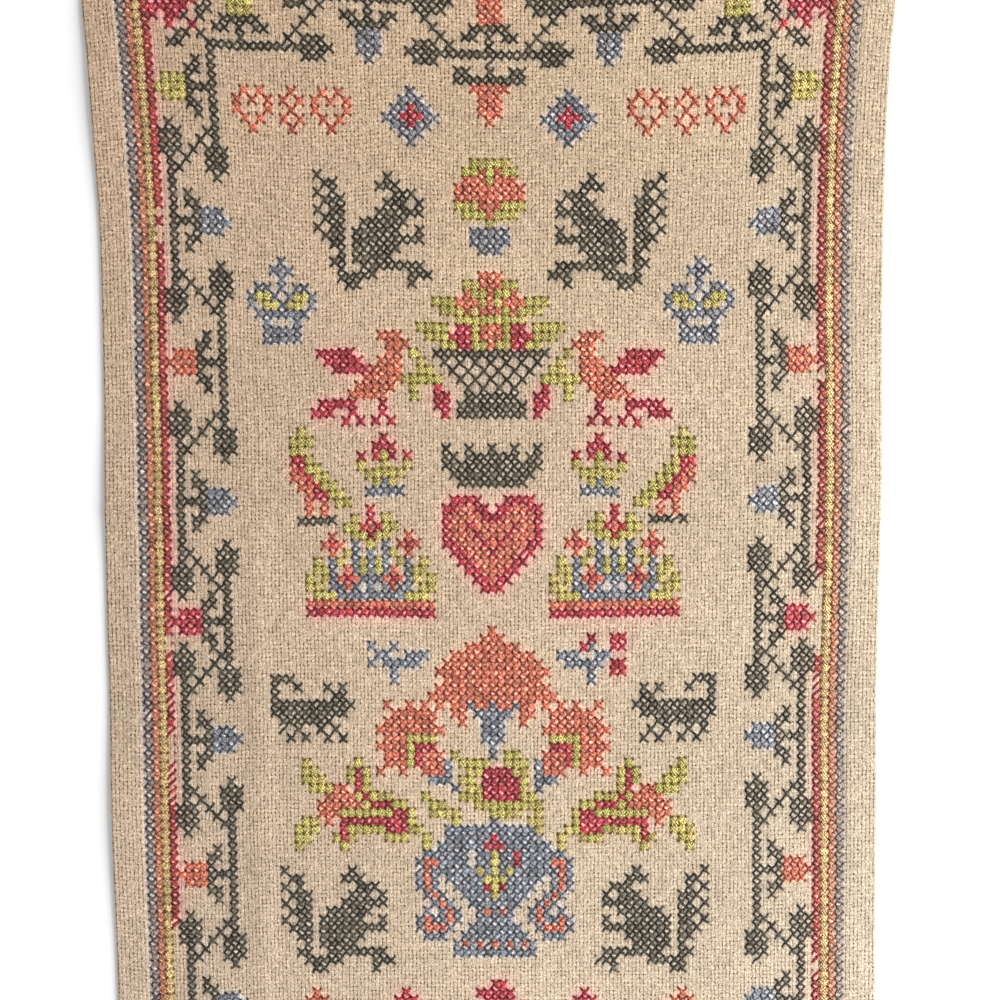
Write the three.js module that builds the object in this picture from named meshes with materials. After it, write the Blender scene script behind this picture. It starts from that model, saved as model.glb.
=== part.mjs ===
// Cross stitch sampler: one long piece of cotton evenweave that lies face up on a table.
// Millimetres. +Z is up, +Y points to the head of the sampler, and the origin is on the table,
// under the middle of the cloth. The stitches are surface detail, so the one solid is the
// cloth: its outline, its turned hem, its pressed folds and the places where its rim lifts.
import * as THREE from "three";

// Driving sizes.
const LENGTH = 420;
const HALF_WIDTH = 117.5; // where the sides run straight
const CLOTH_THICKNESS = 1.2; // evenweave with its embroidery
const LARGEST_CELL = 14; // longest side of a facet away from folds

// The hem: one turning of cloth all the way round, part of the same piece.
const HEM_WIDTH = 8.5;
const HEM_SHOULDER = 2; // over which the hem's edge shows through as a slope
const HEM_RISE = 0.5;
const RIM_ROUND = 0.8; // how far in, and how deep, the fold of the hem is rounded
const RIM_DROP = 0.35;

// How far each side edge lies from the centre line, at distances from the head.
// The head flares, and the weave is drawn in a little below it.
const SIDE_OUTLINE = [
  { fromHead: 0, left: 119.6, right: 119.6 },
  { fromHead: 27, left: 119.5, right: 119.4 },
  { fromHead: 42, left: 118.3, right: 118.2 },
  { fromHead: 71, left: 117.0, right: 117.5 },
  { fromHead: 99, left: 116.2, right: 117.2 },
  { fromHead: 158, left: 116.6, right: 117.7 },
  { fromHead: 205, left: 117.4, right: 117.6 },
  { fromHead: 235, left: 117.3, right: 117.0 },
  { fromHead: 267, left: 117.5, right: 117.7 },
  { fromHead: 329, left: 117.3, right: 118.2 },
  { fromHead: LENGTH, left: 117.4, right: 117.9 },
];

// The head and foot edges bow inwards between their corners.
const END_BOW = 1.4;
const END_BOW_REACH = 60;

// The pressed fold across the sampler, where it was once folded over: a low ridge that runs a
// little on the slant of the weave.
const FOLD_FROM_HEAD = 172;
const FOLD_SLANT = 4.5; // how far its left end lies below, and its right end above, the middle
const FOLD_SLANT_REACH = 80; // how far above and below the fold the facets follow its slant
const FOLD_HEIGHT = 0.9;
const FOLD_HALF_WIDTH = 7;

// The fainter fold along the left of the field, from just above the first fold to the foot.
const LENGTHWISE_FOLD_X = -72;
const LENGTHWISE_FOLD_START = 145;
const LENGTHWISE_FOLD_FADE = 30;
const LENGTHWISE_FOLD_HEIGHT = 0.45;
const LENGTHWISE_FOLD_HALF_WIDTH = 6;

// Where the sides lift off the table: the middle of each lifted stretch, its reach and height.
const SIDE_LIFTS = [
  { side: -1, fromHead: 52, reach: 42, height: 1.0 },
  { side: -1, fromHead: 172, reach: 30, height: 0.7 },
  { side: -1, fromHead: 272, reach: 46, height: 0.9 },
  { side: -1, fromHead: 378, reach: 36, height: 0.6 },
  { side: 1, fromHead: 34, reach: 36, height: 1.1 },
  { side: 1, fromHead: 168, reach: 34, height: 0.6 },
  { side: 1, fromHead: 240, reach: 38, height: 0.9 },
  { side: 1, fromHead: 346, reach: 44, height: 0.8 },
];
const SIDE_LIFT_DEPTH = 22; // how far in from the side a lift reaches

// 0 to 1 with level ends, as x goes from 0 to 1.
function smooth(x) {
  const t = THREE.MathUtils.clamp(x, 0, 1);
  return t * t * (3 - 2 * t);
}

// A soft ridge of height 1 over distances up to reach.
function ridge(distance, reach) {
  return Math.abs(distance) < reach
    ? Math.cos((Math.PI / 2) * (distance / reach)) ** 2
    : 0;
}

// A smooth curve through one column of the side outline.
function sideReach(side, fromHead) {
  const key = side < 0 ? "left" : "right";
  const last = SIDE_OUTLINE.length - 1;
  const slope = (i) => {
    const a = SIDE_OUTLINE[Math.max(i - 1, 0)];
    const b = SIDE_OUTLINE[Math.min(i + 1, last)];
    return (b[key] - a[key]) / (b.fromHead - a.fromHead);
  };
  const i = Math.max(
    SIDE_OUTLINE.slice(0, last).findLastIndex((row) => row.fromHead <= fromHead),
    0,
  );
  const [a, b] = [SIDE_OUTLINE[i], SIDE_OUTLINE[i + 1]];
  const span = b.fromHead - a.fromHead;
  const t = (fromHead - a.fromHead) / span;
  const bend = t * (1 - t) * span;
  return (
    a[key] + (b[key] - a[key]) * smooth(t)
    + bend * ((1 - t) * slope(i) - t * slope(i + 1))
  );
}

// Where a point of the flat cloth lies, seen from above. The cloth's own coordinates are
// across, from -HALF_WIDTH to HALF_WIDTH, and along, from 0 at the head to LENGTH at the foot.
function plan(across, along) {
  const t = across / HALF_WIDTH;
  const headBow = ridge(along, END_BOW_REACH);
  const footBow = ridge(along - LENGTH, END_BOW_REACH);
  const bow = END_BOW * (1 - t * t) * (headBow - footBow);
  const x = t * sideReach(Math.sign(across), along);
  const y = LENGTH / 2 - along - bow;
  return [x, y];
}

// Where a point of the grid lies on the flat cloth: near the fold, its rows follow the slant.
function gridAlong(across, station) {
  const share = ridge(station - FOLD_FROM_HEAD, FOLD_SLANT_REACH);
  return station - FOLD_SLANT * (across / HALF_WIDTH) * share;
}

// How far the underside is off the table. It is exactly 0 away from folds and lifted sides.
function lift(across, along) {
  const crest = FOLD_FROM_HEAD - FOLD_SLANT * (across / HALF_WIDTH);
  const fold = FOLD_HEIGHT * ridge(along - crest, FOLD_HALF_WIDTH);
  const lengthwise =
    LENGTHWISE_FOLD_HEIGHT
    * ridge(across - LENGTHWISE_FOLD_X, LENGTHWISE_FOLD_HALF_WIDTH)
    * smooth((along - LENGTHWISE_FOLD_START) / LENGTHWISE_FOLD_FADE);
  let height = Math.max(fold, lengthwise);
  for (const place of SIDE_LIFTS) {
    const inFromSide = HALF_WIDTH - place.side * across;
    height = Math.max(
      height,
      place.height
        * ridge(along - place.fromHead, place.reach)
        * smooth(1 - inFromSide / SIDE_LIFT_DEPTH),
    );
  }
  return height;
}

// The nearest distance to the rim, in the cloth's own coordinates.
function fromRim(across, along) {
  return Math.min(HALF_WIDTH - Math.abs(across), along, LENGTH - along);
}

function thickness(across, along) {
  const intoCloth = (fromRim(across, along) - HEM_WIDTH) / HEM_SHOULDER;
  return CLOTH_THICKNESS + HEM_RISE * (1 - smooth(intoCloth));
}

// Grid stations: the named ones, and equal steps between those that lie far apart.
function stations(named) {
  const sorted = [...named].sort((a, b) => a - b);
  const all = [sorted[0]];
  for (let i = 1; i < sorted.length; i++) {
    const gap = sorted[i] - sorted[i - 1];
    const steps = Math.ceil(gap / LARGEST_CELL);
    for (let k = 1; k <= steps; k++) all.push(sorted[i - 1] + (gap * k) / steps);
  }
  return all;
}

function rimStations(low, high) {
  const inset = [0, RIM_ROUND, HEM_WIDTH, HEM_WIDTH + HEM_SHOULDER];
  return [...inset.map((d) => low + d), ...inset.map((d) => high - d)];
}

function ridgeStations(middle, halfWidth) {
  return [-1, -0.55, -0.25, 0, 0.25, 0.55, 1].map((k) => middle + k * halfWidth);
}

// The cloth as one closed surface: a top grid, a bottom grid, and a band round the rim.
function clothGeometry() {
  const columns = stations([
    ...rimStations(-HALF_WIDTH, HALF_WIDTH),
    ...ridgeStations(LENGTHWISE_FOLD_X, LENGTHWISE_FOLD_HALF_WIDTH),
  ]);
  const rows = stations([
    ...rimStations(0, LENGTH),
    ...ridgeStations(FOLD_FROM_HEAD, FOLD_HALF_WIDTH),
  ]);
  const positions = [];
  for (const topSide of [true, false]) {
    for (const station of rows) {
      for (const across of columns) {
        const along = gridAlong(across, station);
        const [x, y] = plan(across, along);
        const drop = fromRim(across, along) < RIM_ROUND / 2 ? RIM_DROP : 0;
        const under = lift(across, along);
        const z = topSide ? under + thickness(across, along) - drop : under + drop;
        positions.push(x, y, z);
      }
    }
  }
  const wide = columns.length;
  const tall = rows.length;
  const at = (row, column, topSide) => (topSide ? 0 : wide * tall) + row * wide + column;
  const index = [];
  const quad = (a, b, c, d) => index.push(a, b, c, a, c, d);
  for (let r = 0; r < tall - 1; r++) {
    for (let c = 0; c < wide - 1; c++) {
      quad(at(r, c, true), at(r + 1, c, true), at(r + 1, c + 1, true), at(r, c + 1, true));
      quad(at(r, c, false), at(r, c + 1, false), at(r + 1, c + 1, false), at(r + 1, c, false));
    }
    const right = wide - 1;
    quad(at(r, 0, true), at(r, 0, false), at(r + 1, 0, false), at(r + 1, 0, true));
    quad(at(r, right, true), at(r + 1, right, true), at(r + 1, right, false), at(r, right, false));
  }
  for (let c = 0; c < wide - 1; c++) {
    const foot = tall - 1;
    quad(at(0, c, true), at(0, c + 1, true), at(0, c + 1, false), at(0, c, false));
    quad(at(foot, c, true), at(foot, c, false), at(foot, c + 1, false), at(foot, c + 1, true));
  }
  const geometry = new THREE.BufferGeometry();
  geometry.setAttribute("position", new THREE.Float32BufferAttribute(positions, 3));
  geometry.setIndex(index);
  geometry.computeVertexNormals();
  return geometry;
}

function groundCloth() {
  const material = new THREE.MeshStandardMaterial({
    color: 0xcab19a,
    roughness: 0.95,
    metalness: 0,
  });
  const mesh = new THREE.Mesh(clothGeometry(), material);
  mesh.name = "ground_cloth";
  return mesh;
}

const sampler = new THREE.Group();
sampler.name = "cross_stitch_sampler";
sampler.add(groundCloth());

export default sampler;
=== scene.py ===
"""Cross stitch sampler: the looks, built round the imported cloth.

The script works in millimetres on the cloth's own grid of stitches and turns them into
metres when it makes a mesh. A stitch has a column, counted from the centre line, and a row,
counted down from the shoulders of the crowned heart. Dyes are given as sRGB bytes.
"""

import math

import bpy
import numpy as np
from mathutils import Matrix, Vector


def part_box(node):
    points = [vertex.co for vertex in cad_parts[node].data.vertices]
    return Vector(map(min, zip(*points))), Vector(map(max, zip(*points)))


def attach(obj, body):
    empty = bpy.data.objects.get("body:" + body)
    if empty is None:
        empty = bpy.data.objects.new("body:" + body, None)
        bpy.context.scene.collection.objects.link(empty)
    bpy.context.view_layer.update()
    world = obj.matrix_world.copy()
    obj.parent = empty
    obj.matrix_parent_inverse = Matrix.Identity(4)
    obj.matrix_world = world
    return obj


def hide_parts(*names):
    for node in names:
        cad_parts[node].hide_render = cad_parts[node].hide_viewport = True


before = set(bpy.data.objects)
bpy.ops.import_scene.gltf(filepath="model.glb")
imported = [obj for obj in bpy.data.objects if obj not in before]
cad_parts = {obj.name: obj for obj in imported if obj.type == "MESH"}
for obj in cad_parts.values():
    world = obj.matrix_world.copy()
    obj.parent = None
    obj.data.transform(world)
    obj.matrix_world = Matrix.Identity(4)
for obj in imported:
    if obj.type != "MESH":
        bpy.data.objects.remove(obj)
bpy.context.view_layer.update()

MM = 0.001
CLOTH_LOW, CLOTH_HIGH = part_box("ground_cloth")
LENGTH = (CLOTH_HIGH.y - CLOTH_LOW.y) / MM
RNG = np.random.default_rng(7)

# ---- sizes, in millimetres

STITCH_W = 2.311
STITCH_H = 2.589
MIDDLE_ROW = 14  # the row at mid length: the border is the same above and below it
HALF_WIDTH = 117.5
CLOTH_UNDER = 0.25  # the cloth lies this high, on the backs of its stitches
CLOTH_SHEET = 0.7  # the weave alone
HEM_WIDTH = 8.5
HEM_SHOULDER = 2.0
HEM_RISE = 0.4
RIM_ROUND = 0.8
RIM_EDGE = 0.15  # share of the thickness at the very edge

# As in the part: the side edges' distance from the centre line, at distances from the head.
SIDE_OUTLINE = np.array([  # from head, left, right
    (0, 119.6, 119.6),
    (27, 119.5, 119.4),
    (42, 118.3, 118.2),
    (71, 117.0, 117.5),
    (99, 116.2, 117.2),
    (158, 116.6, 117.7),
    (205, 117.4, 117.6),
    (235, 117.3, 117.0),
    (267, 117.5, 117.7),
    (329, 117.3, 118.2),
    (LENGTH, 117.4, 117.9),
])
END_BOW = 1.4
END_BOW_REACH = 60
HEAD_SAG = 2.8  # the rows near the head dip in the middle
HEAD_SAG_MIDDLE = 8
HEAD_SAG_HALF_WIDTH = 82
HEAD_SAG_START = 24  # it comes in over this
HEAD_SAG_END = (40, 90)  # and goes between these
# Where the needle has pulled the weave out of true, and how far it moves the threads.
WEAVE_PULLS = (  # middle across, reach, first and last distance from the head, right, up
    (-95, 45, -40, 60, -0.35, 0),
    (45, 70, -40, 45, 0.15, -0.65),
    (-55, 60, 24, 140, -0.75, 0),
    (50, 50, 24, 90, 0.4, 0),
    (80, 40, 30, 90, 0.1, -0.6),
    (60, 38, 60, 180, 0, -1.3),
    (100, 40, 60, 130, -0.45, 0),
    (-58, 30, 60, 190, 0, -1.0),
    (-32, 30, 70, 175, 0, 0.5),
    (0, 35, 70, 125, -0.25, -0.5),
    (-36, 28, 80, 170, -0.45, 0),
    (-105, 30, 150, 190, 0.35, 0),
    (-50, 16, 62, 112, 0, -0.55),
    (-23, 15, 45, 78, 0, 1.3),
    (24, 15, 45, 78, 0, 0.95),
    (50, 16, 62, 112, 0, -1.2),
    (-52, 26, 128, 156, 0, 1.5),
    (52, 26, 130, 156, 0, 2.0),
    (-30, 14, 146, 170, 0, 0.5),
    (31, 14, 146, 170, 0, 0.6),
    (-62, 35, 215, 262, 0.25, 0),
    (35, 35, 250, 330, -0.25, 0),
    (35, 30, 345, 400, 0.3, 0),
    (-35, 30, 330, 400, -0.2, 0),
    (52, 22, 130, 170, -0.2, -0.6),
    (-108, 50, 180, 400, 0.5, 0),
    (-15, 40, 190, 270, -0.3, 0),
    (20, 90, 190, 400, 0, -0.9),
    (0, 40, 195, 235, 0, -0.3),
    (100, 40, 240, 400, -0.25, 0),
    (-75, 45, 255, 400, 0, -0.4),
    (70, 45, 255, 400, 0, -0.45),
)
PULL_FADE = 30  # over which a pull comes and goes
RIM_FADE = 12  # the rim itself is not pulled
BORDER_STRETCH = ((-1, 190, 0.0098), (1, 215, 0.0063))  # side, where it is level, share
BORDER_STRETCH_MOST = 1.3
BORDER_STRETCH_FROM = (70, 88)  # across, where it begins and where it is whole
FOLD_FROM_HEAD = 172
FOLD_SLANT = 4.5
FOLD_HEIGHT = 0.9
FOLD_HALF_WIDTH = 7
LENGTHWISE_FOLD_X = -72
LENGTHWISE_FOLD_START = 145
LENGTHWISE_FOLD_FADE = 30
LENGTHWISE_FOLD_HEIGHT = 0.45
LENGTHWISE_FOLD_HALF_WIDTH = 6
SIDE_LIFTS = (  # side, from head, reach, height
    (-1, 52, 42, 1.0),
    (-1, 172, 30, 0.7),
    (-1, 272, 46, 0.9),
    (-1, 378, 36, 0.6),
    (1, 34, 36, 1.1),
    (1, 168, 34, 0.6),
    (1, 240, 38, 0.9),
    (1, 346, 44, 0.8),
)
SIDE_LIFT_DEPTH = 22

# ---- the chart

# K charcoal, C coral, R crimson, Y yellow green, B blue. A dot is bare cloth. Charts marked
# half end on the centre line and are mirrored about it.
CHARTS = {
    "heart": """
    .C.C.
    C.C.C
    C...C
    .C.C.
    ..C..""",
    "knot": """
    .C.
    C.C
    .C.
    C.C
    .C.""",
    "diamond": """
    ...B...
    ..BBB..
    .BBRBB.
    BBRRRBB
    .BBRBB.
    ..BBB..
    ...B...""",
    "squirrel": """
    K..............
    .KK......K.....
    K.K.....KKK....
    .KKK......KKK..
    K.KK.....KKK.K.
    .KKK....KKKKKK.
    K.KK..KKKKKK...
    .KKK.KKKKKK..K.
    ..KK.KKKKKKKKK.
    ...K.KKKKKK....
    ..KK.KKKKK.....
    ...K..KKKKKKKK.
    ...KKKKK....KKK
    ....KK......K..""",
    "squirrel_low": """
    K........K.....
    .KK.....KKK....
    K.K.......KKK..
    .KKK.....KKK.K.
    K.KK....KKKKKK.
    .KKK..KKKKKK...
    K.KK.KKKKKK..K.
    .KKK.KKKKKKKKK.
    ..KK.KKKKKK....
    ...K.KKKKK.....
    ..KK..KKKKKKKK.
    ...KKKKK....KKK
    ....KK......K..""",
    "crown": """
    ....B....
    ...BBB...
    ....B....
    .BB.B.BB.
    BYYB.BYYB
    B.YYBYY.B
    .BBBBBBB.
    ..B...B..
    ..BBBBB..
    ..BBBBB..""",
    "bird": """
    .........CCC.
    ..........CCC
    .RRRRR....CC.
    ..RRRRR..CCC.
    ...RRRRRCCCC.
    .......CCCCC.
    ......CCCCC..
    .....CCCCC...
    .RRRRR...R...
    RRR..R...R...
    ....R.R.R.R..""",
    "leaf_sprig": """
    .Y...
    ..Y..
    ..YY.
    YYYYY
    .Y...
    .Y...""",
    "drop": """
    R.
    RR
    RR
    .R""",
    "potted_tulip": """
    ...R...
    ..RRR..
    R.RYR.R
    Y..Y..Y
    .YYYYY.
    ..YBY..
    .BBBBB.""",
    "perched_bird": """
    .Y......
    YYY.....
    YY......
    RRY.....
    CRYY....
    CCRYY...
    .CCRYY..
    ..CRRYY.
    ..C.C.YY
    ..C.C...
    .KKKKK..""",
    "blue_sprig": """
    B..B....
    .BB..BBB
    B.BBBBB.
    ...B....
    ...B....""",
    "cat": """
    KKK........
    K..K...K.K.
    K.......KK.
    KKKKKKKKKKK
    KKKKKKKKKK.
    .KKKKKKK...
    .K.K..K.K..
    ..K.K..K.K.""",
    "side_carnation": """
    ..C..C.C...
    ...CCCCCC..
    ..CCCCCCC..
    .CCCCCCCCC.
    ..CCCYYYY..
    .CCCCYRRR..
    ..CCCYRCCC.
    ..CCCYRCCCB
    .C..C..CCCB
    ........BBB""",
    "lying_tulip": """
    .Y......Y.........
    .YY....YRY........
    .YYY...YRY........
    ..YYYCC.RY........
    ....CCCCYRYYY.....
    ...CCCCCCYRRRYY...
    ...CCCYYYYYYYRRY..
    .YY.C.RRRRRRRRRY..
    YYY...RYYYYYRRRYY.
    YY...YRY....YYY..Y
    Y.....Y..........Y""",
    "rose": """
    Y......YY...
    .YYYY..YYY..
    ..YYRRRRYY..
    .YY.RRRRRY..
    ..YYRRRRRY..
    .YYYRRRRRYY.
    ...YYYYYYYYY
    .....YYYY..Y""",
    "rose_leaf": """
    Y....
    .YY..
    .YYYY
    ....Y""",
    "foot_flower": """
    ...C...
    ..CCC..
    .CCCCC.
    CC.C.CC
    CCCCCCC
    .CC.CC.
    ...Y...
    YY.Y.YY
    .YYYYY.
    ...Y...
    ..BBB..""",
    "flower_pot_half": """
    ..YYY
    .YYCY
    .CCCY
    CCCCC
    CCCCC
    YYYCC
    .YYYC
    ....Y
    ..BBB
    ..BBB
    ...BB""",
    "fruit_half": """
    .........CC
    .......YYCC
    .......CYYC
    ...YYYCCCYC
    ....YYYCYCC
    ......YYYYY
    .YYYY.RRYCC
    ..YYYRRRYCC
    ....YYRRYYC""",
    "basket_half": """
    KKKKKKKK
    .K.K.K.K
    ..K.K.K.
    ...K.K.K
    ....K.K.
    ....KKKK
    ...KKKKK
    ...KKKKK""",
    "crowned_heart_half": """
    K..K..K
    KK.KKKK
    KKKKKKK
    .KKKKKK
    ..KKKKK
    .......
    .RRRR..
    RRCCRR.
    RCCCCRR
    RCCRCCC
    RCCCRCC
    RRCCCRC
    .RRCCCR
    ..RRCCC
    ...RRCC
    ....RRC
    .....RR""",
    "flower_mound_half": """
    ........R
    ......Y.R
    .....YYRC
    ...C..YYR
    ..CRC.B.Y
    ...C.YB.B
    .Y.BY.BYB
    .YYB.CBYB
    Y.YBCRCBB
    YY.BBCB.B
    .YYYBBBBB
    CCCCCCCCC
    RRRRRRRRR""",
    "great_carnation_half": """
    ........C
    .......CC
    .....CCCC
    ...CCCCCC
    ..CCCCCCC
    .CCCCCCCC
    ..CCCCCCC
    .CCCCCCCC
    CCCCCCCCC
    .C.CCBCCB
    ...CC.BBB
    ....C..BB
    .......BB
    .......BB
    ........B
    ........B""",
    "urn_half": """
    ..........B
    ....BBBBBBB
    ....BBBBBBR
    ...BBBBBBRR
    .BBBBBB.BBY
    BCCBBBB.BBY
    BCBBBBBBYBY
    BCB.BBBBBYY
    BCB..BBBBRY
    .BCB..BBBBY
    ..BCB..BBBB
    .B.BCB..BCB
    BCBBCB..BBB
    BCCCB..BBBB
    .BBB..BBBBB
    .....BCBCBC
    .....BBBBBB""",
    "foot_rose": """
    ...RR...
    .RRRRR..
    ..RRRR..
    .RRCCRR.
    RRCCCCRR
    RRRCCRRR
    .RRRRRR.
    ...YY...
    YY.YY.YY
    .YYYYYY.
    .BBBBBB.
    ..BBBB..""",
    "pendant_half": """
    ....K
    KK..K
    KKKKK
    ..CCC
    ...CC
    ...CC
    ...CC
    ....C""",
}

# Charts worked on both sides of the centre line: the left one's first column and row.
PAIRS = (
    ("heart", -32, -47),
    ("knot", -26, -47),
    ("heart", -22, -47),
    ("diamond", -13, -47),
    ("squirrel", -22, -38),
    ("crown", -31, -28),
    ("bird", -23, -19),
    ("leaf_sprig", -11, -17),
    ("drop", -7, -13),
    ("potted_tulip", -17, -7),
    ("perched_bird", -26, -8),
    ("blue_sprig", -16, 17),
    ("cat", -29, 21),
    ("side_carnation", -16, 24),
    ("lying_tulip", -26, 31),
    ("squirrel_low", -28, 44),
)
# Half charts on the centre line, by their first row.
CENTRED = (
    ("pendant_half", -51),
    ("flower_pot_half", -39),
    ("fruit_half", -26),
    ("basket_half", -17),
    ("crowned_heart_half", -6),
    ("great_carnation_half", 15),
    ("urn_half", 38),
)
# Charts worked once, by their first column and row.
SINGLES = (
    ("rose", -5, 30),
    ("rose_leaf", -9, 35),
    ("foot_flower", -27, 59),
    ("foot_flower", 22, 59),
    ("foot_rose", -3, 58),
)
# Crosses that the worker put in the wrong place or the wrong colour.
STRAYS = (  # colour, columns and rows
    ("R", ((12, 17), (13, 16), (16, 16), (17, 16), (16, 17), (17, 17), (16, 19), (17, 19))),
    ("R", ((16, 20), (17, 20), (3, 42), (3, 43))),
    ("Y", ((5, 38), (6, 38), (6, 39))),
    ("B", ((-5, 34), (6, 34))),
    ("K", ((25, 56),)),
)
MISSED = ((23, 56),)  # crosses of a chart that the worker left out
MOUND_COLUMN = 16  # the middle of each flower mound beside the crowned heart
MOUND_ROW = 1

# The border. Its vine runs on two lines, and hops from one to the other.
INNER_LINE = 35
LINE_STEP = 6
HEAD_LINE = -52
FOOT_LINE = 2 * MIDDLE_ROW - HEAD_LINE
STRIPES = (("R", 8), ("Y", 9), ("C", 10), ("B", 11))  # colour, steps out from the inner line
GONE = ((-1, 51, 60), (1, 10, 18))  # no trace of the crimson stripe: side, first and last row
SIDE_SPRIGS = (  # line, first and last row of the stem, row of the bud, its colour
    ("inner", -52, -42, -47, "Y"),
    ("outer", -38, -26, -32, "B"),
    ("inner", -22, -10, -16, "C"),
    ("outer", -6, 6, 0, "B"),
    ("inner", 10, 18, 14, "R"),
)
END_SPRIGS = (  # the same along the head and foot, by columns out from the centre line
    ("inner", -5, 5, 0, "C"),
    ("outer", 10, 21, 15, "B"),
    ("inner", 25, 35, 31, "Y"),
)
# The flower in each corner, on the slant: columns out from the vine's corner, rows away.
CORNER_ARMS = ((1, 1), (3, 1), (4, 1), (4, 0), (5, 0), (3, 3), (1, 3), (1, 4), (0, 4), (0, 5))
CORNER_PETALS = (
    (2, 2), (5, 2), (4, 3), (5, 3), (7, 3), (3, 4), (4, 4), (5, 4), (6, 4), (7, 4),
    (2, 5), (3, 5), (4, 5), (5, 5), (6, 5), (4, 6), (5, 6), (6, 6), (3, 7), (4, 7), (7, 7),
)


class Chart:
    """Every stitch of the sampler, by column and row, with its colour and its zone."""

    def __init__(self):
        self.stitches = {}

    def put(self, column, row, colour, zone):
        if colour != ".":
            self.stitches[(column, row)] = (colour, zone)

    def unpick(self, column, row, zone):
        if self.stitches.get((column, row), ("", ""))[1] == zone:
            del self.stitches[(column, row)]

    def pattern(self, name, column, row, sides=(1,), recoloured=None):
        for down, line in enumerate(CHARTS[name].split()):
            for along, colour in enumerate(line):
                colour = (recoloured or {}).get(colour, colour)
                for side in sides:
                    self.put(side * (column + along), row + down, colour, "motif")

    def half(self, name, row, middle=0):
        for down, line in enumerate(CHARTS[name].split()):
            for out, colour in enumerate(reversed(line)):
                for side in (-1, 1):
                    self.put(middle + side * out, row + down, colour, "motif")

    def stripe(self, colour, out):
        width = INNER_LINE + out
        top, bottom = HEAD_LINE - out, FOOT_LINE + out
        for row in range(top, bottom + 1):
            self.put(-width, row, colour, "stripe")
            self.put(width, row, colour, "stripe")
        for column in range(-width, width + 1):
            self.put(column, top, colour, "stripe")
            self.put(column, bottom, colour, "stripe")


def side_line(chart, side):
    """Puts a stitch of the vine at a row, and a step out from the side's inner line."""
    return lambda s, t, colour: chart.put(side * (INNER_LINE + t), s, colour, "vine")


def end_line(chart, line, outward):
    return lambda s, t, colour: chart.put(s, line + outward * t, colour, "vine")


def stem(put, t, first, last):
    for s in range(min(first, last), max(first, last) + 1):
        put(s, t, "K")


def leaf(put, t, end, way):
    """A pointed leaf three stitches wide that carries on from a stem's end."""
    put(end + way, t, "K")
    for step in (2, 3, 4):
        for across in (-1, 0, 1):
            put(end + way * step, t + across, "K")
    put(end + way * 5, t, "K")


def bud(put, t, s, colour, way):
    """A stalked bud in its calyx, across the border from a stem."""
    for step in (1, 2):
        put(s, t + way * step, "K")
    for across in (-2, -1, 0, 1, 2):
        put(s + across, t + way * 3, "K")
    for across in (-3, -2, 2, 3):
        put(s + across, t + way * 2, "K")
    for step in (4, 5, 6):
        for across in (-1, 0, 1):
            put(s + across, t + way * step, colour)
    put(s, t + way * 7, colour)


def hop(put, s, way):
    """Single crosses on the slant, from the end of an inner stem to the next outer one."""
    for step in range(1, LINE_STEP):
        put(s + way * (step - 1), step, "K")


def sprig(put, line, first, last, middle, colour, corner=None):
    """One stretch of vine: stem, a leaf past each free end, and a bud on its stalk."""
    t = 0 if line == "inner" else LINE_STEP
    stem(put, t, first, last)
    bud(put, t, middle, colour, 1 if line == "inner" else -1)
    for end, way in ((first, -1), (last, 1)):
        if end == corner:
            continue
        leaf(put, t, end, way)
        if line == "inner":
            hop(put, end, way)


def corner_flower(chart, side, line, outward):
    """A crimson flower on a short stalk, on the slant out of the corner of the vine."""
    for colour, places in (("K", CORNER_ARMS), ("R", CORNER_PETALS)):
        for out, away in places:
            chart.put(side * (INNER_LINE + out), line + outward * away, colour, "vine")


def whole_chart():
    chart = Chart()
    for colour, out in STRIPES:
        chart.stripe(colour, out)
    for side in (-1, 1):
        put = side_line(chart, side)
        for line, first, last, middle, colour in SIDE_SPRIGS:
            sprig(put, line, first, last, middle, colour, corner=HEAD_LINE)
            if middle != MIDDLE_ROW:
                ends = [2 * MIDDLE_ROW - row for row in (last, first, middle)]
                sprig(put, line, *ends, colour, corner=FOOT_LINE)
    for line, outward in ((HEAD_LINE, -1), (FOOT_LINE, 1)):
        put = end_line(chart, line, outward)
        for level, first, last, middle, colour in END_SPRIGS:
            for side in (-1, 1) if middle else (1,):
                ends = sorted((side * first, side * last))
                sprig(put, level, *ends, side * middle, colour, corner=side * INNER_LINE)
        for side in (-1, 1):
            corner_flower(chart, side, line, outward)
    for name, column, row in PAIRS:
        chart.pattern(name, column, row, sides=(1, -1))
    chart.pattern("foot_flower", -15, 59, sides=(1, -1), recoloured={"C": "R"})
    for name, row in CENTRED:
        chart.half(name, row)
    for name, column, row in SINGLES:
        chart.pattern(name, column, row)
    for side in (-1, 1):
        chart.half("flower_mound_half", MOUND_ROW, middle=side * MOUND_COLUMN)
    for side, first, last in GONE:
        for row in range(first, last + 1):
            chart.unpick(side * (INNER_LINE + STRIPES[0][1]), row, "stripe")
    for column, row in MISSED:
        chart.unpick(column, row, "motif")
    for colour, places in STRAYS:
        for column, row in places:
            chart.put(column, row, colour, "motif")
    return chart.stitches


# ---- the cloth's surface


def smooth(x):
    t = np.clip(x, 0, 1)
    return t * t * (3 - 2 * t)


def ridge(distance, reach):
    return np.cos(np.pi / 2 * np.clip(np.asarray(distance) / reach, -1, 1)) ** 2


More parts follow.
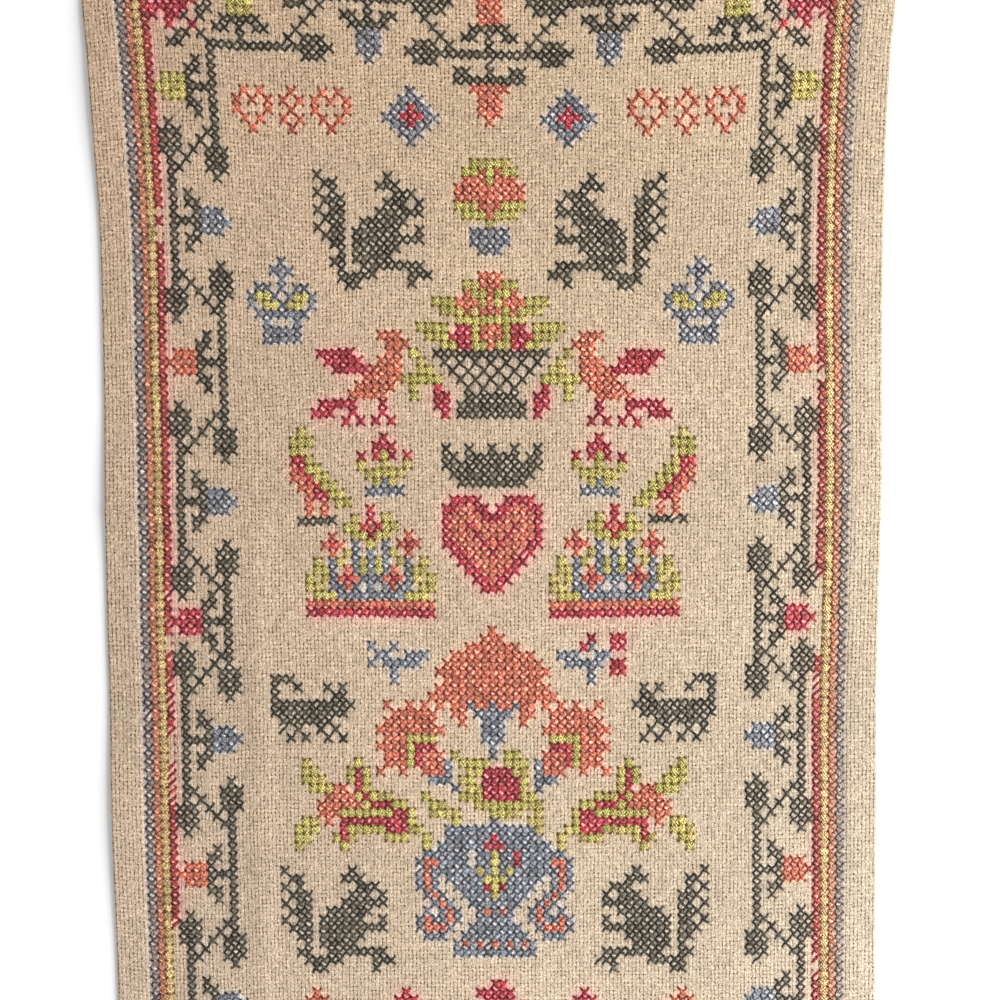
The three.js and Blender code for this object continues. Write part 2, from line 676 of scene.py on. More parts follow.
def side_reach(key, from_head):
    """A smooth curve through one column of the side outline."""
    at, reach = SIDE_OUTLINE[:, 0], SIDE_OUTLINE[:, key]
    before = np.r_[0, np.arange(len(at) - 1)]
    after = np.r_[np.arange(1, len(at)), len(at) - 1]
    slope = (reach[after] - reach[before]) / (at[after] - at[before])
    i = np.clip(np.searchsorted(at, from_head, side="right") - 1, 0, len(at) - 2)
    span = at[i + 1] - at[i]
    t = (from_head - at[i]) / span
    bend = t * (1 - t) * span
    curve = (1 - t) * slope[i] - t * slope[i + 1]
    return reach[i] + (reach[i + 1] - reach[i]) * smooth(t) + bend * curve


def along_of(row):
    """Distance from the head edge to a row, on the flat cloth."""
    return LENGTH / 2 - (MIDDLE_ROW - row) * STITCH_H


def weave_drift(across, along):
    """How far the threads lie from a true grid, as in cloth worked in the hand."""
    rim = smooth((HALF_WIDTH - np.abs(across)) / RIM_FADE)
    rim = rim * smooth(np.minimum(along, LENGTH - along) / RIM_FADE)
    start, end = HEAD_SAG_END
    fade = smooth(along / HEAD_SAG_START) * (1 - smooth((along - start) / (end - start)))
    right = np.zeros(np.shape(across))
    up = -HEAD_SAG * ridge(across - HEAD_SAG_MIDDLE, HEAD_SAG_HALF_WIDTH) * fade
    for middle, reach, first, last, pull_right, pull_up in WEAVE_PULLS:
        share = ridge(across - middle, reach)
        share = share * smooth((along - first) / PULL_FADE + 0.5)
        share = share * smooth((last - along) / PULL_FADE + 0.5)
        right = right + pull_right * share
        up = up + pull_up * share
    inner, outer = BORDER_STRETCH_FROM
    for side, level, stretch in BORDER_STRETCH:
        pulled = np.clip(stretch * (level - along), -BORDER_STRETCH_MOST, BORDER_STRETCH_MOST)
        up = up + pulled * smooth((side * across - inner) / (outer - inner))
    return right * rim, up * rim


def plan(across, along):
    """Where a point of the flat cloth lies, seen from above."""
    dx, dy = weave_drift(across, along)
    t = across / HALF_WIDTH
    ends = ridge(along, END_BOW_REACH) - ridge(along - LENGTH, END_BOW_REACH)
    bow = END_BOW * (1 - t * t) * ends
    reach = np.where(across < 0, side_reach(1, along), side_reach(2, along))
    return t * reach + dx, LENGTH / 2 - along - bow + dy


def lift(across, along):
    """How far the folds and the lifted sides raise the cloth off the table."""
    crest = FOLD_FROM_HEAD - FOLD_SLANT * across / HALF_WIDTH
    height = FOLD_HEIGHT * ridge(along - crest, FOLD_HALF_WIDTH)
    lengthwise = (
        LENGTHWISE_FOLD_HEIGHT
        * ridge(across - LENGTHWISE_FOLD_X, LENGTHWISE_FOLD_HALF_WIDTH)
        * smooth((along - LENGTHWISE_FOLD_START) / LENGTHWISE_FOLD_FADE)
    )
    height = np.maximum(height, lengthwise)
    for side, at, reach, rise in SIDE_LIFTS:
        depth = smooth(1 - (HALF_WIDTH - side * across) / SIDE_LIFT_DEPTH)
        height = np.maximum(height, rise * ridge(along - at, reach) * depth)
    return height


def from_rim(across, along):
    return np.minimum(HALF_WIDTH - np.abs(across), np.minimum(along, LENGTH - along))


def hem(across, along):
    """1 over the turned hem, 0 inside it."""
    return 1 - smooth((from_rim(across, along) - HEM_WIDTH) / HEM_SHOULDER)


def rim_share(across, along):
    """How much of its half thickness the cloth has, across the round of its rim."""
    inwards = np.clip(from_rim(across, along) / RIM_ROUND, 0, 1)
    return np.sqrt(1 - (1 - inwards) ** 2) * (1 - RIM_EDGE) + RIM_EDGE


def surfaces(across, along):
    """The heights of the cloth's underside and of its face."""
    turned = hem(across, along)
    under = lift(across, along) + CLOTH_UNDER * (1 - turned)
    face = lift(across, along) + CLOTH_UNDER + CLOTH_SHEET + HEM_RISE * turned
    middle = (under + face) / 2
    half = (face - under) / 2 * rim_share(across, along)
    return middle - half, middle + half


# ---- meshes

ATTRIBUTES = {3: ("FLOAT_VECTOR", "vector"), 4: ("FLOAT_COLOR", "color")}  # by their width


def placed(name, data):
    """A new object with this data, in the scene."""
    item = bpy.data.objects.new(name, data)
    bpy.context.scene.collection.objects.link(item)
    return item


def new_object(name, vertices, faces, attributes):
    """A smooth shaded mesh from millimetre points and a list of face index arrays."""
    mesh = bpy.data.meshes.new(name)
    vertices = np.asarray(vertices, np.float32) * MM
    sizes = np.concatenate([np.full(len(f), f.shape[1]) for f in faces])
    corners = np.concatenate([f.ravel() for f in faces])
    mesh.vertices.add(len(vertices))
    mesh.vertices.foreach_set("co", vertices.ravel())
    mesh.loops.add(len(corners))
    mesh.loops.foreach_set("vertex_index", corners.astype(np.int32))
    mesh.polygons.add(len(sizes))
    starts = np.r_[0, np.cumsum(sizes)[:-1]]
    mesh.polygons.foreach_set("loop_start", starts.astype(np.int32))
    mesh.polygons.foreach_set("use_smooth", np.ones(len(sizes), bool))
    mesh.update(calc_edges=True)
    for key, values in attributes:
        values = np.asarray(values, np.float32)
        kind, field = ATTRIBUTES[values.shape[1]]
        layer = mesh.attributes.new(key, kind, "POINT")
        layer.data.foreach_set(field, values.ravel())
    return placed(name, mesh)


# ---- dyes and stains


def linear(srgb):
    share = np.asarray(srgb, float) / 255
    return np.where(share <= 0.04045, share / 12.92, ((share + 0.055) / 1.055) ** 2.4)


# The aged ground, and how its red, green and blue drift from the middle to the foot, to the
# right side and to both sides. It is as much browner at the head and the left side. The drift
# to the foot and the right side is partly the cloth's own tone and partly painted light: paler
# where more light falls, and browner at the head and the left side in painted shade.
GROUND = linear((196, 175, 150))
PATCHES = ((0.03, 38), (0.02, 11))  # how much lighter or darker, and how wide
PATCHES_AT = (300, 600)  # where in the noise they are taken from
FOOT_LIGHT_AND_TONE = np.array([0.035, 0.08, 0.135])
RIGHT_LIGHT_AND_TONE = np.array([0.0, 0.04, 0.05])
PALER_SIDES = np.array([0.0, 0.01, 0.035])
# Ground cloth that shows between stitches has taken some of their dye.
DYED = {
    "K": linear((172, 163, 150)),
    "C": linear((245, 175, 151)),
    "R": linear((244, 152, 159)),
    "Y": linear((178, 164, 88)),
    "B": linear((186, 188, 194)),
}
DYE_GRID = 4  # dye samples to a stitch
DYE_STRENGTH = {"K": 0.8, "C": 0.85, "R": 0.95, "Y": 0.9, "B": 0.85}
DYE_RUN = {"K": 0.3, "C": 0.36, "R": 0.42, "Y": 0.32, "B": 0.32}  # in stitches
DYE_GAIN = 1.15
WIDE_RUN = {"R": (0.9, 0.42), "C": (0.8, 0.20)}  # reach and strength of a faint halo
WIDE_GAIN = 1.6
DYE_LEFT = (0.3, 0.8, 1.0)  # under a lost cross, a cross with one leg, and a whole one
FADED_DYE = 0.45  # the share of the dye that is lost under the right border
FADED_DYE_AT = (92, 98)  # millimetres across
NOISE_CELLS = 60
CHART_PAD = 6  # stitches of bare cloth round the chart


def blurred(image, sigma):
    reach = int(3 * sigma) + 1
    kernel = np.exp(-0.5 * (np.arange(-reach, reach + 1) / sigma) ** 2)
    kernel /= kernel.sum()
    for axis in (0, 1):
        image = np.apply_along_axis(np.convolve, axis, image, kernel, mode="same")
    return image


def sampled(image, x, y):
    """Bilinear look-up."""
    x = np.clip(x, 0, image.shape[1] - 1.001)
    y = np.clip(y, 0, image.shape[0] - 1.001)
    i, j = x.astype(int), y.astype(int)
    fx, fy = x - i, y - j
    top = image[j, i] * (1 - fx) + image[j, i + 1] * fx
    low = image[j + 1, i] * (1 - fx) + image[j + 1, i + 1] * fx
    return top * (1 - fy) + low * fy


def soft_noise(x, y, size, seed):
    """Smooth random values about 0, with features of the given size."""
    values = np.random.default_rng(seed).normal(0, 1, (NOISE_CELLS + 4, NOISE_CELLS + 4))
    values = blurred(values, 0.8) / 0.35  # the blur leaves a spread of 0.35
    return sampled(values, x / size % NOISE_CELLS + 1, y / size % NOISE_CELLS + 1)


def aged_ground_and_painted_light(across, along):
    """The colour of the bare cloth, with painted light: paler towards the foot and the right
    side.
    """
    x, y = PATCHES_AT[0] + across, PATCHES_AT[1] - along
    tone = 1
    for seed, (share, size) in enumerate(PATCHES, 1):
        tone = tone + share * soft_noise(x, y, size, seed)
    footward = (along - LENGTH / 2) / (LENGTH / 2)
    rightward = across / HALF_WIDTH
    # painted light: paler towards the foot and the right side, darker towards the head and the
    # left, partly the cloth's own tone
    drift = 1 + footward[:, None] * FOOT_LIGHT_AND_TONE + rightward[:, None] * RIGHT_LIGHT_AND_TONE
    drift += rightward[:, None] ** 2 * PALER_SIDES
    return GROUND * drift * tone[:, None]


def dye_amounts(stitches, states, across, along):
    """How strongly the dye of each colour of thread has run into each point of the cloth."""
    columns, rows = [np.array(v) for v in zip(*stitches)]
    letters = np.array([colour for colour, _ in stitches.values()])
    left = np.array([DYE_LEFT[states[key]] for key in stitches])
    low_column, low_row = columns.min() - CHART_PAD, rows.min() - CHART_PAD
    shape = rows.max() - low_row + CHART_PAD, columns.max() - low_column + CHART_PAD
    x = (across / STITCH_W - low_column + 0.5) * DYE_GRID - 0.5
    y = ((along - along_of(0)) / STITCH_H - low_row + 0.5) * DYE_GRID - 0.5
    for letter in DYED:
        mine = letters == letter
        worked = np.zeros(shape)
        worked[rows[mine] - low_row, columns[mine] - low_column] = left[mine]
        image = np.kron(worked, np.ones((DYE_GRID, DYE_GRID)))
        near = sampled(blurred(image, DYE_RUN[letter] * DYE_GRID), x, y)
        amount = DYE_STRENGTH[letter] * smooth(near * DYE_GAIN)
        if letter in WIDE_RUN:
            reach, strength = WIDE_RUN[letter]
            wide = sampled(blurred(image, reach * DYE_GRID), x, y)
            amount = np.maximum(amount, strength * np.clip(wide * WIDE_GAIN, 0, 1))
        low, high = FADED_DYE_AT
        yield letter, amount * (1 - FADED_DYE * smooth((across - low) / (high - low)))


def cloth_colour(stitches, states, across, along):
    """The cloth's colour, partly painted light, with the dye that has run into it, and how bare
    it is.
    """
    colour = aged_ground_and_painted_light(across, along)
    bare = np.ones(len(across))
    for letter, amount in dye_amounts(stitches, states, across, along):
        colour += (DYED[letter] - colour) * amount[:, None]
        bare = np.minimum(bare, 1 - amount)
    return np.c_[colour, bare]


# ---- the cloth piece

RIM_STATIONS = (0.45, 0.15)  # between the rim and where its round begins
RIM_GAP = 0.3  # least distance from there to a stitch line
THREAD_START = 200.5  # keeps thread counts above 0, with stitch corners whole


def half_steps(step, limit):
    """Stations on the corners and middles of the stitches, out to just inside the rim."""
    reach = int((limit - RIM_ROUND - RIM_GAP) / step)
    near = limit - np.array([RIM_ROUND, *RIM_STATIONS, 0])
    return np.r_[-near[::-1], np.arange(-reach, reach + 1) * step, near]


def grid_faces(wide, tall, offset, flip):
    at = offset + np.arange(tall)[:, None] * wide + np.arange(wide)[None, :]
    a, b, c, d = at[:-1, :-1], at[1:, :-1], at[1:, 1:], at[:-1, 1:]
    order = (a, d, c, b) if flip else (a, b, c, d)
    return np.stack([v.ravel() for v in order], 1), at


def rim_loop(at):
    """The grid's boundary, once round."""
    return np.concatenate([at[0, :-1], at[:-1, -1], at[-1, :0:-1], at[:0:-1, 0]])


def pulled_corners(stitches, across, row):
    """1 where the needle has opened a hole, on the corners of worked stitches: the weave's
    material paints these holes in shade.
    """
    cells = set(stitches)
    column = np.round((across / STITCH_W - 0.5) * 2) / 2
    line = np.round((row - 0.5) * 2) / 2
    on_corner = (column % 1 == 0) & (line % 1 == 0)
    pulled = np.zeros(len(across))
    for k in np.flatnonzero(on_corner):
        c, r = int(column[k]), int(line[k])
        pulled[k] = any((c + i, r + j) in cells for i in (0, 1) for j in (0, 1))
    return pulled


def cloth_piece(stitches, states):
    """One closed sheet: a fine face, a back with half as many steps, and a rim between."""
    columns = half_steps(STITCH_W / 2, HALF_WIDTH)
    rows = LENGTH / 2 + half_steps(STITCH_H / 2, LENGTH / 2)
    parts = []
    for face, (u, v) in enumerate(((columns[::2], rows[::2]), (columns, rows))):
        across, along = [g.ravel() for g in np.meshgrid(u, v)]
        x, y = plan(across, along)
        z = surfaces(across, along)[face]
        parts.append((np.stack([x, y, z], 1), across, along))
    (back, *back_flat), (front, *front_flat) = parts
    back_faces, back_at = grid_faces(len(columns[::2]), len(rows[::2]), len(front), True)
    front_faces, front_at = grid_faces(len(columns), len(rows), 0, False)
    t, b = rim_loop(front_at), rim_loop(back_at)
    t0, t1, t2 = t[::2], t[1::2], np.roll(t, -2)[::2]
    b0, b1 = b, np.roll(b, -1)
    rim = np.concatenate([
        np.stack([b0, t0, t1], 1)[:, ::-1],
        np.stack([b0, t1, b1], 1)[:, ::-1],
        np.stack([b1, t1, t2], 1)[:, ::-1],
    ])
    across, along = [np.r_[a, b] for a, b in zip(front_flat, back_flat)]
    row = (along - along_of(0)) / STITCH_H
    pulled = pulled_corners(stitches, across, row)
    threads = np.stack([across / STITCH_W + THREAD_START, row + THREAD_START, pulled], 1)
    colour = cloth_colour(stitches, states, across, along)
    faces = [front_faces, back_faces, rim]
    looks = [("threads", threads), ("ground", colour)]
    return new_object("ground_evenweave", np.concatenate([front, back]), faces, looks)


# ---- the stitches

THREAD_HEIGHT = 0.38
FACE_SECTION = np.array([(-0.5, 0), (-0.4, 0.65), (0, 1), (0.4, 0.65), (0.5, 0)])
BACK_SECTION = np.array([(0.5, 0), (0.3, -1), (-0.3, -1), (-0.5, 0)])
# Along the leg, height of its underside, width, thickness, and how far aside it is pulled: the
# two legs of a cross turn each other a little where they meet.
UNDER_LEG = np.array([
    (0.00, -0.22, 0.78, 0.75, 0),
    (0.28, 0.00, 1.00, 1.0, -1),
    (0.72, 0.00, 1.00, 1.0, 1),
    (1.00, -0.22, 0.78, 0.75, 0),
])
OVER_LEG = np.array([
    (0.00, -0.18, 0.78, 0.75, 0),
    (0.24, 0.08, 0.98, 1.0, -1),
    (0.50, 0.26, 1.04, 0.9, 0),
    (0.76, 0.08, 0.98, 1.0, 1),
    (1.00, -0.18, 0.78, 0.75, 0),
])
BACK_BAR = np.array([
    (0.03, 0.12, 0.7, 0.6, 0),
    (0.50, 0.02, 0.9, 0.6, 0),
    (0.97, 0.12, 0.7, 0.6, 0),
])
LEG_TWIST = 0.11
LEG_TWIST_SPREAD = 0.5
HOLE_STRAY = 0.045  # of a stitch: how far the needle's holes lie off the even grid
END_STRAY = 0.03  # how far a thread lies off the middle of its hole
THREAD_CUT = 40  # a leg is cut from somewhere in this length of thread

COLOUR_NAMES = {"K": "charcoal", "C": "coral", "R": "crimson", "Y": "yellow", "B": "blue"}
THREAD_WIDTH = {"K": 0.79, "C": 0.82, "R": 0.95, "Y": 0.62, "B": 0.78}
STRANDS_APART = 0.34  # the two flat strands of a yellow leg lie this far off its line
ACROSS_LEG = np.array([1.0, 0.8])  # sideways off the lower leg, in stitches
# How much of its second dye a thread has, in the motifs and the vine, and in the stripes.
SECOND_DYE = {
    "K": (0.50, 0.50),
    "C": (0.15, 0.85),
    "R": (0.25, 0.80),
    "Y": (0.2, 0.95),
    "B": (0.18, 0.95),
}
BROWNED = {"K": -0.45, "C": 0.0, "R": 0.0, "Y": 0.0, "B": 0.25}  # more second dye at the head
HALF_ROWS = 80  # from the middle row to the head or the foot
TONE_SPREAD = {"K": 0.28, "C": 0.18, "R": 0.2, "Y": 0.12, "B": 0.26}
TONE_LIMITS = (-1.6, 2)  # in spreads
WIDTH_SPREAD = 0.07
SECOND_SPREAD = 0.12
BROKEN = 0.004  # share of the other crosses that have lost a leg

# Where the crimson stripe has worn: side, first and last row, share lost, share half lost.
WORN = (
    (-1, -33, -33, 1, 0),
    (-1, -31, -30, 1, 0),
    (-1, 11, 11, 0, 1),
    (-1, 13, 16, 0.1, 0.7),
    (-1, 17, 17, 1, 0),
    (-1, 18, 18, 0, 1),
    (-1, 21, 24, 0, 0.9),
    (-1, 27, 27, 0, 1),
    (-1, 28, 30, 1, 0),
    (-1, 31, 35, 0.1, 0.8),
    (-1, 50, 50, 0, 1),
    (1, -15, -14, 0.6, 0.4),
    (1, 3, 3, 0, 1),
    (1, 9, 9, 0, 1),
    (1, 21, 23, 0, 0.8),
    (1, 55, 57, 0.4, 0.6),
)

# The right border has faded most: its threads are thinner and paler.
FADED_FROM = 34  # the last column that has not faded
FADED_WIDTH = 0.88
FADED_TONE = {"K": 1.08, "C": 1.12, "R": 1.08, "Y": 1.25, "B": 1.35}


def condition(column, row, colour, zone):
    """2 for a whole cross, 1 for one that has lost its upper leg, 0 for one that is gone."""
    draw = RNG.random()
    if zone == "stripe" and colour == "R":
        for side, first, last, lost, half in WORN:
            if column * side > 0 and first <= row <= last:
                return 0 if draw < lost else 1 if draw < lost + half else 2
    return 1 if draw < BROKEN else 2


def second_share(rows, colour, zone):
    """How far each stitch of a run is dyed with its thread's second colour."""
    motif, stripe = SECOND_DYE[colour]
    browned = BROWNED[colour] * (MIDDLE_ROW - rows) / HALF_ROWS
    share = stripe if zone == "stripe" else motif + browned
    return np.clip(share + RNG.normal(0, SECOND_SPREAD, len(rows)), 0, 1)


def tube_faces(count, steps, sides):
    """Quads round, and caps on both ends of, a number of like tubes."""
    ring = np.arange(steps - 1)[:, None] * sides + np.arange(sides)[None, :]
    turn = np.arange(steps - 1)[:, None] * sides + (np.arange(sides)[None, :] + 1) % sides
    quads = np.stack([ring, turn, turn + sides, ring + sides], -1).reshape(-1, 4)
    caps = np.stack([np.arange(sides)[::-1], np.arange(sides) + (steps - 1) * sides])
    first = np.arange(count)[:, None, None] * steps * sides
    return (quads[None] + first).reshape(-1, 4), (caps[None] + first).reshape(-1, sides)


def swept(starts, ends, profile, section, on_face, tone, width, second):
    """Short threads from start to end, in stitch columns and rows, as closed tubes."""
    count, steps, sides = len(starts), len(profile), len(section)
    place = profile[:, 0][None, :, None]
    grid = starts[:, None, :] * (1 - place) + ends[:, None, :] * place
    across = grid[..., 0] * STITCH_W
    along = along_of(grid[..., 1])
    x, y = plan(across, along)
    level = surfaces(across, along)[1 if on_face else 0]
    heading = np.stack([x[:, -1] - x[:, 0], y[:, -1] - y[:, 0]], 1)
    reach = np.linalg.norm(heading, axis=1)
    heading /= reach[:, None]
    twist = LEG_TWIST * (1 + RNG.normal(0, LEG_TWIST_SPREAD, count))
    aside = twist[:, None] * profile[:, 4]
    shift = (width[:, None] * profile[:, 2])[:, :, None] * section[:, 0] + aside[:, :, None]
    rise = (profile[:, 3] * THREAD_HEIGHT)[:, None] * section[:, 1]
    vertices = np.stack([
        x[:, :, None] + heading[:, 1][:, None, None] * shift,
        y[:, :, None] - heading[:, 0][:, None, None] * shift,
        (level + profile[:, 1])[:, :, None] + rise[None],
    ], -1).reshape(-1, 3)

    def spread(*values):
        return np.stack(np.broadcast_arrays(*values), -1).reshape(-1, len(values))

    whole = np.zeros((count, steps, sides))
    distance = RNG.random(count)[:, None, None] * THREAD_CUT + place * reach[:, None, None]
    around = (np.arange(sides) / sides)[None, None, :]
    strand = spread(distance + whole, around, tone[:, None, None])
    finish = spread(place + whole, second[:, None, None], 0)
    return (vertices, *tube_faces(count, steps, sides), strand, finish)


def joined(name, runs):
    """Joins runs of threads into one piece."""
    offset, vertices, faces, strands, finishes = 0, [], [], [], []
    for points, quads, caps, strand, finish in runs:
        vertices.append(points)
        faces += [quads + offset, caps + offset]
        strands.append(strand)
        finishes.append(finish)
        offset += len(points)
    looks = [("strand", np.concatenate(strands)), ("finish", np.concatenate(finishes))]
    return new_object(name, np.concatenate(vertices), faces, looks)


def worked_runs(stitches, states):
    """The stitches that are left, as arrays of column, row and condition by zone and colour."""
    runs = {}
    for (column, row), (colour, zone) in stitches.items():
        state = states[(column, row)]
        if state:
            runs.setdefault((zone, colour), []).append((column, row, state))
    return {key: np.array(rows, float) for key, rows in runs.items()}


def hole_stray(points):
    """How far off the grid the hole is at each corner: the same for every thread in it."""
    strays = np.random.default_rng(11).normal(0, HOLE_STRAY, (256, 256, 2))
    column, row = (np.round(points - 0.5).astype(int) % 256).T
    return strays[column, row]


def strand_offsets(colour):
    """How far each strand of a leg lies off its line, in stitches: yellow is split in two."""
    off = STRANDS_APART / STITCH_W / math.sqrt(2)
    return (-off, off) if colour == "Y" else (0.0,)


def stitch_pieces(stitches, states):
    """The face and the back of the embroidery, a piece for each colour in each zone."""
    made = []
    for (zone, colour), rows in worked_runs(stitches, states).items():
        place, whole = rows[:, :2], rows[:, 2] > 1
        count = len(rows)
        tone = 1 + TONE_SPREAD[colour] * np.clip(RNG.normal(0, 1, count), *TONE_LIMITS)
        width = THREAD_WIDTH[colour] * (1 + RNG.normal(0, WIDTH_SPREAD, count))
        second = second_share(rows[:, 1], colour, zone)
        corners = [place + np.array(c) * 0.5 for c in ((-1, 1), (1, -1), (-1, -1), (1, 1))]
        a, b, c, d = [
            corner + hole_stray(corner) + RNG.normal(0, END_STRAY, (count, 2))
            for corner in corners
        ]
        faded = place[:, 0] > FADED_FROM
        tone[faded] *= FADED_TONE[colour]
        width[faded] *= FADED_WIDTH
        looks = (tone, width, second)
        upper = [values[whole] for values in looks]
        upper[0] = upper[0] * (1 + RNG.normal(0, TONE_SPREAD[colour] / 2, len(upper[0])))
        legs = []
        for off in strand_offsets(colour):
            aside = off * ACROSS_LEG
            legs.append(swept(a + aside, b + aside, UNDER_LEG, FACE_SECTION, True, *looks))
            aside = off * ACROSS_LEG * (1, -1)
            ends = c[whole] + aside, d[whole] + aside
            legs.append(swept(*ends, OVER_LEG, FACE_SECTION, True, *upper))
        name = COLOUR_NAMES[colour]
        made.append((joined(f"{zone}_stitches_{name}", legs), colour))
        bar = swept(a, c, BACK_BAR, BACK_SECTION, False, *looks)
        made.append((joined(f"{zone}_backs_{name}", [bar]), colour))
    return made


# ---- materials


class Nodes:
    """Short ways to add shader nodes to one material."""

    def __init__(self, name):
        self.material = bpy.data.materials.new(name)
        self.material.use_nodes = True
        self.tree = self.material.node_tree
        self.shader = self.tree.nodes["Principled BSDF"]

    def add(self, kind, *inputs, **settings):
        node = self.tree.nodes.new(kind)
        for key, value in settings.items():
            setattr(node, key, value)
        for slot, value in enumerate(inputs):
            if value is not None:
                self.feed(node.inputs[slot], value)
        return node

    def feed(self, socket, value):
        if isinstance(value, bpy.types.NodeSocket):
            self.tree.links.new(value, socket)
        else:
            socket.default_value = value

    def math(self, operation, a, b=None, c=None):
        return self.add("ShaderNodeMath", a, b, c, operation=operation).outputs[0]

    def minus(self, a, b):
        return self.math("SUBTRACT", a, b)

    def times(self, a, b):
        return self.math("MULTIPLY", a, b)

    def times_plus(self, a, b, c):
        return self.math("MULTIPLY_ADD", a, b, c)

    def attribute(self, name):
        return self.add("ShaderNodeAttribute", attribute_name=name).outputs

    def split(self, vector):
        return self.add("ShaderNodeSeparateXYZ", vector).outputs

    def vector(self, x, y, z=0.0):
        return self.add("ShaderNodeCombineXYZ", x, y, z).outputs[0]

    def noise(self, vector, scale, detail):
        node = self.add("ShaderNodeTexNoise", vector)
        node.inputs["Scale"].default_value = scale
        node.inputs["Detail"].default_value = detail
        return node.outputs["Fac"]

    def random(self, x, y, z=0.0):
        """A random value for each whole number of x and y."""
        whole = self.vector(self.math("ROUND", x), self.math("ROUND", y), z)
        return self.add("ShaderNodeTexWhiteNoise", whole).outputs["Value"]

    def fade(self, value, low, high):
        """0 at low, 1 at high, smooth between."""
        node = self.add("ShaderNodeMapRange", value, low, high, interpolation_type="SMOOTHSTEP")
        return node.outputs["Result"]

    def from_whole(self, value):
        """How far a value is from the nearest whole number, -0.5 to 0.5."""
        return self.minus(value, self.math("ROUND", value))

    def distance(self, x, y):
        square = self.times(x, x)
        return self.math("SQRT", self.times_plus(y, y, square))

    def mixed(self, factor, a, b, blend="MIX"):
        node = self.add("ShaderNodeMix", data_type="RGBA", blend_type=blend)
        self.feed(node.inputs["Factor"], factor)
        self.feed(node.inputs["A"], a)
        self.feed(node.inputs["B"], b)
        return node.outputs["Result"]

    def scaled(self, colour, factor):
        return self.mixed(1.0, colour, self.vector(factor, factor, factor), "MULTIPLY")

    def bump(self, height, strength, distance):
        node = self.add("ShaderNodeBump")
        node.inputs["Strength"].default_value = strength
        node.inputs["Distance"].default_value = distance
        self.feed(node.inputs["Height"], height)
        return node.outputs["Normal"]


GAP_TINT = (0.26, 0.19, 0.11, 1.0)  # light that is left in a hole of the weave
# painted shade: the light that is left in a needle hole at a worked stitch's corner
NEEDLE_HOLE_SHADE = (0.10, 0.07, 0.045, 1.0)
WEAVE_WANDER = 0.28  # how far the threads stray, in threads


def crowns(n, u, v):
    """1 on the crown of the thread that is on top, 0 in the gaps: u and v count threads."""
    column, row = n.math("FLOOR", u), n.math("FLOOR", v)
    across = n.math("ABSOLUTE", n.minus(n.minus(u, column), 0.5))
    along = n.math("ABSOLUTE", n.minus(n.minus(v, row), 0.5))
    upright = n.math("MODULO", n.math("ADD", column, row), 2.0)
    warp = n.times(n.fade(across, 0.46, 0.22), n.fade(along, 0.80, 0.30))
    weft = n.times(n.fade(along, 0.54, 0.24), n.fade(across, 0.56, 0.30))
    turned = n.times(upright, n.minus(warp, weft))
    return n.math("ADD", weft, turned)


def weave_holes(n, u, v):
    """Holes where four threads meet, and longer slits between uprights: some are closed."""
    across, along = n.from_whole(u), n.from_whole(v)
    hole = n.distance(n.math("DIVIDE", across, 0.27), n.math("DIVIDE", along, 0.36))
    hole = n.times(n.fade(hole, 1.1, 0.4), n.fade(n.random(u, v), 0.3, 0.8))
    slit = n.fade(n.math("ABSOLUTE", across), 0.24, 0.08)
    slit = n.times(slit, n.fade(n.random(u, n.math("ADD", v, 0.5), 3.0), 0.4, 0.9))
    return n.math("MAXIMUM", hole, n.times(slit, 0.6))


def evenweave_material():
    """Single threads over and under, two to a stitch each way, with slubs and open holes."""
    n = Nodes("evenweave")
    across, along, pulled = n.split(n.attribute("threads")["Vector"])
    wander = n.add("ShaderNodeTexNoise", n.vector(across, along))
    wander.inputs["Scale"].default_value = 0.9
    wander_u, wander_v, _ = n.split(wander.outputs["Color"])
    u, v = [
        n.times_plus(stray, 2 * WEAVE_WANDER, n.times(place, 2.0))
        for place, stray in ((across, wander_u), (along, wander_v))
    ]
    ground = n.attribute("ground")
    bare = ground["Alpha"]
    crown, holes = crowns(n, u, v), n.times(weave_holes(n, u, v), bare)
    speck = n.fade(n.noise(n.vector(u, v), 2.3, 1.0), 0.36, 0.64)
    crossing = n.random(n.math("ADD", u, 0.5), n.math("ADD", v, 0.5), 9.0)
    upright = n.noise(n.vector(u, n.times(v, 0.10)), 1.1, 1.0)
    shade = n.times_plus(speck, 0.62, 0.70)
    shade = n.times(shade, n.times_plus(crossing, 0.24, 0.88))
    shade = n.times(shade, n.times_plus(upright, 0.36, 0.82))
    gap_tone = n.random(n.times(across, 2.0), n.times(along, 2.0), 21.0)
    gap_tone = n.times_plus(gap_tone, 1.1, 0.5)
    worked = n.minus(1.0, bare)
    gap_tone = n.times_plus(worked, n.minus(gap_tone, 1.0), 1.0)
    colour = n.scaled(ground["Color"], n.times(shade, gap_tone))
    shadow = n.times_plus(bare, 0.20, 0.06)
    shadow = n.times(n.minus(1.0, crown), shadow)
    deep = n.math("MAXIMUM", shadow, holes)
    colour = n.mixed(deep, colour, GAP_TINT, "MULTIPLY")
    # Painted shade in the needle holes at the corners of worked stitches.
    corner = n.distance(n.from_whole(across), n.from_whole(along))
    opened = n.times(n.fade(corner, 0.34, 0.12), pulled)
    colour = n.mixed(opened, colour, NEEDLE_HOLE_SHADE, "MULTIPLY")
    n.feed(n.shader.inputs["Base Color"], colour)
    n.shader.inputs["Roughness"].default_value = 0.92
    n.shader.inputs["Specular IOR Level"].default_value = 0.2
    relief = n.times_plus(speck, 0.25, n.minus(crown, holes))
    n.feed(n.shader.inputs["Normal"], n.bump(relief, 0.5, 0.00012))
    return n.material


